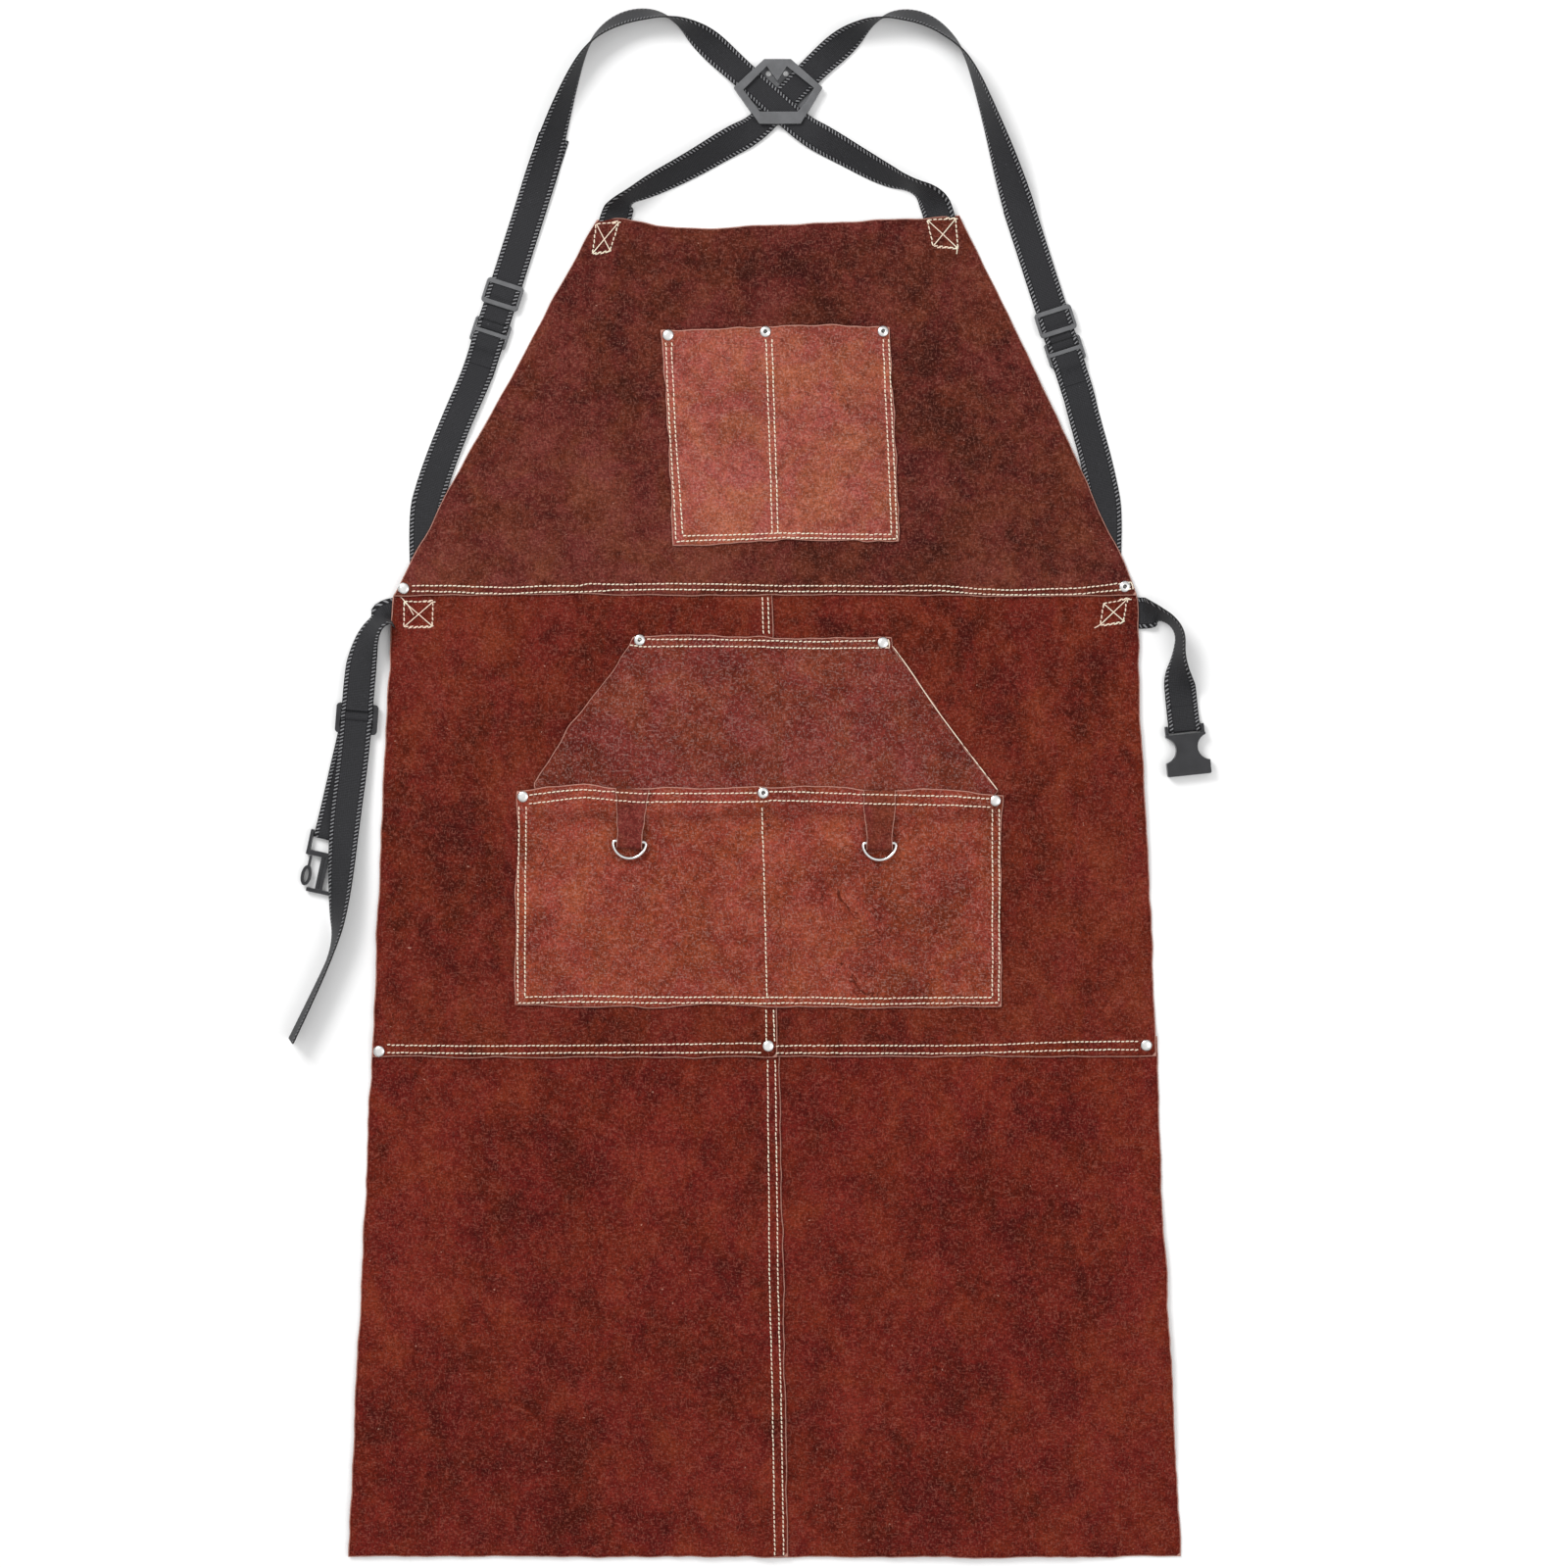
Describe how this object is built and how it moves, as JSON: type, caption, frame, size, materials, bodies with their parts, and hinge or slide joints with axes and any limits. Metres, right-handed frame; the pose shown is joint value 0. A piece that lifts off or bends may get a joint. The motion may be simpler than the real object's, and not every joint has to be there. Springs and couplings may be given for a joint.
{
  "type": "welding apron",
  "caption": "Split-leather bib apron with chest and tool pockets, crossed webbing shoulder straps with sliders, D-rings and a side-release waist belt, lying flat.",
  "frame": {"origin": "on the surface the apron lies on, at its centre line and level with the raw edge of the waist seam", "axes": "+X across the apron towards the half of the belt with the socket, +Y up the apron from hem to bib, +Z out of its front face, away from the wearer"},
  "size_m": [0.7368, 1.2364, 0.0259],
  "materials": {
    "panel_leather": "dark reddish-brown suede split leather, mottled",
    "pocket_leather": "slightly lighter and pinker suede leather",
    "thread": "cream heavy thread in double rows",
    "webbing": "black ribbed webbing with small white edge ticks",
    "plastic": "charcoal moulded plastic, edges worn lighter",
    "rivet": "bright nickel plate",
    "ring": "bright nickel-plated wire"
  },
  "bodies": {
    "apron": {"belt_loop": "webbing", "belt_strap_left": "webbing", "belt_strap_right": "webbing", "belt_tail": "webbing", "bib_panel": "panel_leather", "buckle_male_body": "plastic", "centre_seam_stitching": "thread", "chest_pocket": "pocket_leather", "chest_pocket_rivet_caps": "rivet", "chest_pocket_rivet_posts": "rivet", "chest_pocket_stitching": "thread", "cross_back_plate": "plastic", "d_ring_tab_left": "panel_leather", "d_ring_tab_right": "panel_leather", "lower_seam_rivet_caps": "rivet", "lower_seam_rivet_posts": "rivet", "lower_seam_stitching": "thread", "lower_skirt_left": "panel_leather", "lower_skirt_right": "panel_leather", "pocket_yoke_rivet_caps": "rivet", "pocket_yoke_rivet_posts": "rivet", "shoulder_strap_left": "webbing", "shoulder_strap_right": "webbing", "shoulder_strap_tail_left": "webbing", "shoulder_strap_tail_right": "webbing", "side_strap_left": "webbing", "side_strap_right": "webbing", "strap_link_left": "plastic", "strap_link_right": "plastic", "strap_tack_stitching": "thread", "tool_pocket_front": "pocket_leather", "tool_pocket_rivet_caps": "rivet", "tool_pocket_rivet_posts": "rivet", "tool_pocket_stitching": "thread", "tool_pocket_yoke": "pocket_leather", "upper_skirt_left": "panel_leather", "upper_skirt_right": "panel_leather", "waist_rivet_caps": "rivet", "waist_rivet_posts": "rivet", "waist_seam_stitching": "thread"},
    "d_ring_left": {"d_ring_left": "ring"},
    "d_ring_right": {"d_ring_right": "ring"},
    "shoulder_slider_left": {"shoulder_slider_left": "plastic", "slider_fold_left": "webbing"},
    "shoulder_slider_right": {"shoulder_slider_right": "plastic", "slider_fold_right": "webbing"},
    "belt_slider": {"belt_slider": "plastic", "belt_slider_fold": "webbing"},
    "prong_left": {"buckle_male_prong_left": "plastic"},
    "prong_right": {"buckle_male_prong_right": "plastic"},
    "socket": {"buckle_female": "plastic"}
  },
  "joints": [
    {"name": "d_ring_left_swing", "type": "hinge", "parent": "apron", "child": "d_ring_left", "pos_m": [-0.10799, -0.19614, 0.0122], "axis": [-0.9986, 0.0523, 0], "range_deg": [0, 150]},
    {"name": "d_ring_right_swing", "type": "hinge", "parent": "apron", "child": "d_ring_right", "pos_m": [0.0909, -0.1974, 0.0122], "axis": [-1, 0, 0], "range_deg": [0, 150]},
    {"name": "shoulder_slider_left_slide", "type": "slide", "parent": "apron", "child": "shoulder_slider_left", "axis": [0.3057, 0.9521, 0], "range_m": [0, 0.055]},
    {"name": "shoulder_slider_right_slide", "type": "slide", "parent": "apron", "child": "shoulder_slider_right", "axis": [-0.3057, 0.9521, 0], "range_m": [0, 0.055]},
    {"name": "belt_slider_slide", "type": "slide", "parent": "apron", "child": "belt_slider", "axis": [0.0785, 0.9969, 0], "range_m": [0, 0.018]},
    {"name": "prong_left_squeeze", "type": "hinge", "parent": "apron", "child": "prong_left", "pos_m": [-0.36272, -0.20812, 0.003], "axis": [0, 0, 1], "range_deg": [0, 7], "stiffness_Nm_per_rad": 3},
    {"name": "prong_right_squeeze", "type": "hinge", "parent": "apron", "child": "prong_right", "pos_m": [-0.34025, -0.21302, 0.003], "axis": [0, 0, -1], "range_deg": [0, 7], "stiffness_Nm_per_rad": 3},
    {"name": "socket_tip", "type": "hinge", "parent": "apron", "child": "socket", "pos_m": [0.3345, -0.1061, 0.00295], "axis": [-0.9945, -0.1045, 0], "range_deg": [0, 90]}
  ]
}
